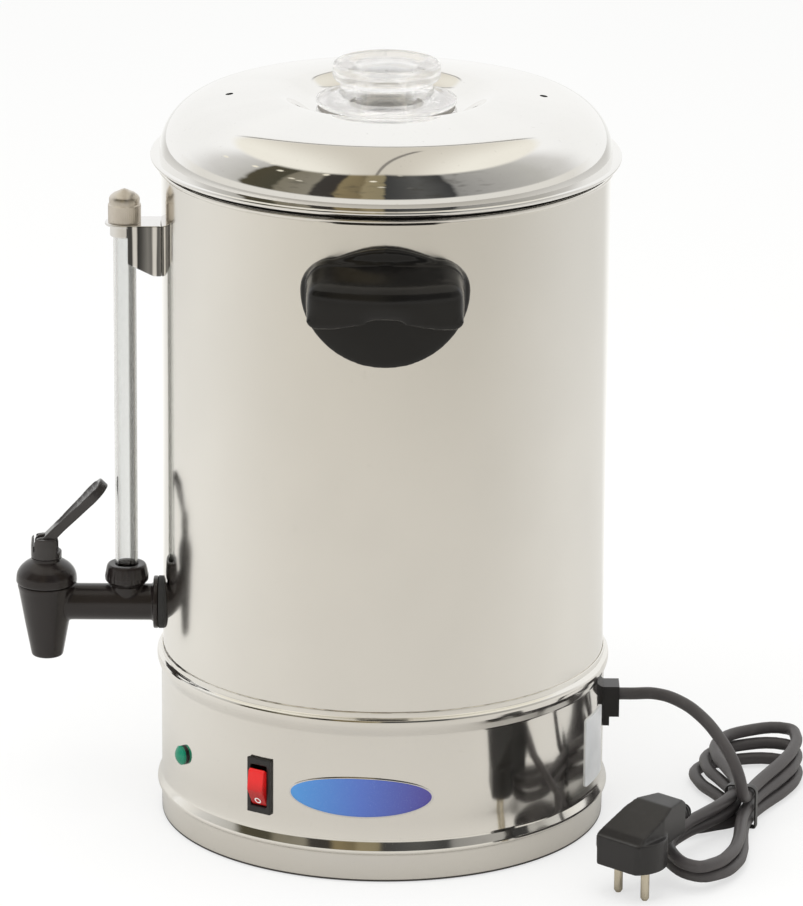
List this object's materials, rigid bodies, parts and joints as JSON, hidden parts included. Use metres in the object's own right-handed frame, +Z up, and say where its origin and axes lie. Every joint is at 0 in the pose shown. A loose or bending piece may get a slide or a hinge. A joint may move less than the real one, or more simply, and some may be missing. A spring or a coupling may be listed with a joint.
{
  "type": "coffee urn",
  "caption": "Percolating coffee urn in polished steel with a drip-free tap, a sight gauge, a lift-off lid, side handles and a tied mains cord.",
  "frame": {"origin": "on the vessel axis at the surface that the foot ring stands on", "axes": "+Z up along the vessel axis, -Y towards the tap, +Y towards the cord, +X towards one handle and the viewer of the switch"},
  "size_m": [0.326, 0.452, 0.4373],
  "materials": {
    "vessel_steel": "polished stainless sheet",
    "inner_steel": "satin stainless sheet",
    "heater_steel": "oxidised heater sheath",
    "zinc": "zinc plated screws and nuts",
    "chrome": "bright plated",
    "nickel": "satin nickel",
    "grip_black": "black phenolic",
    "tap_black": "brown black moulding",
    "dull_black": "black moulding",
    "clear": "clear moulding",
    "glass": "clear tube",
    "red": "red translucent rocker",
    "green": "green lens",
    "badge_blue": "blue plate with a bright border",
    "plate_grey": "blank plate",
    "ivory": "ceramic or nylon",
    "seal_grey": "silicone",
    "seal_black": "rubber",
    "cord_black": "cord sheath",
    "pins": "nickel plated brass"
  },
  "bodies": {
    "urn": {"body_shell": "vessel_steel", "tank_floor": "inner_steel", "base_skirt": "vessel_steel", "bottom_cover": "heater_steel", "foot_ring": "seal_black", "cover_screws": "zinc", "handle_right": "grip_black", "handle_left": "grip_black", "handle_screws": "zinc", "handle_washers": "seal_black", "boil_heater": "heater_steel", "warm_heater": "heater_steel", "heater_clamp": "inner_steel", "heater_nut": "zinc", "thermostat": "dull_black", "thermal_cutout": "dull_black", "terminal_block": "ivory", "switch_housing": "dull_black", "lamp_holder": "dull_black", "lamp_lens": "green", "badge": "badge_blue", "rating_plate": "plate_grey", "tap_body": "tap_black", "tap_bonnet": "tap_black", "tap_collar": "tap_black", "tap_spring": "inner_steel", "outer_gasket": "seal_black", "inner_gasket": "seal_black", "shank_nut": "tap_black", "gauge_nut": "tap_black", "gauge_seal": "seal_grey", "sight_tube": "glass", "gauge_cap": "nickel", "gauge_bracket": "chrome", "bracket_screws": "zinc", "cord_gland": "dull_black", "gland_nut": "dull_black", "cord_lead": "cord_black", "cord_hank": "cord_black", "cord_tail": "cord_black", "cord_tie": "dull_black", "plug_body": "dull_black", "plug_pins": "pins"},
    "lid": {"lid": "vessel_steel", "lid_knob": "clear", "knob_gasket": "seal_grey", "knob_ring_nut": "ivory"},
    "percolator": {"pump_stem": "inner_steel", "pump_foot": "inner_steel", "coffee_basket": "inner_steel"},
    "basket_cap": {"basket_cover": "inner_steel"},
    "tap_stem": {"valve_stem": "inner_steel", "seat_cup": "seal_grey", "lever_pin": "inner_steel"},
    "tap_handle": {"tap_lever": "tap_black"},
    "rocker": {"switch_rocker": "red"}
  },
  "joints": [
    {"name": "lid_lift", "type": "slide", "parent": "urn", "child": "lid", "axis": [0, 0, 1], "range_m": [0, 0.42]},
    {"name": "basket_lift", "type": "slide", "parent": "urn", "child": "percolator", "axis": [0, 0, 1], "range_m": [0, 0.315]},
    {"name": "cover_lift", "type": "slide", "parent": "percolator", "child": "basket_cap", "axis": [0, 0, 1], "range_m": [0, 0.03]},
    {"name": "stem_lift", "type": "slide", "parent": "urn", "child": "tap_stem", "axis": [0, 0, 1], "range_m": [0, 0.0025], "stiffness_N_per_m": 400, "springref_m": -0.005, "deforming": ["tap_spring"]},
    {"name": "lever_tilt", "type": "hinge", "parent": "tap_stem", "child": "tap_handle", "pos_m": [0, -0.191, 0.15461], "axis": [1, 0, 0], "range_deg": [0, 50]},
    {"name": "rocker_tilt", "type": "hinge", "parent": "urn", "child": "rocker", "pos_m": [0.10457, -0.06636, 0.05], "axis": [-0.5358, -0.8443, 0], "range_deg": [0, 20]}
  ],
  "couplings": [
    {"joint": "basket_lift", "follows": "lid_lift", "ratio": 0.75},
    {"joint": "lever_tilt", "follows": "stem_lift", "rad_per_m": 349.06}
  ]
}
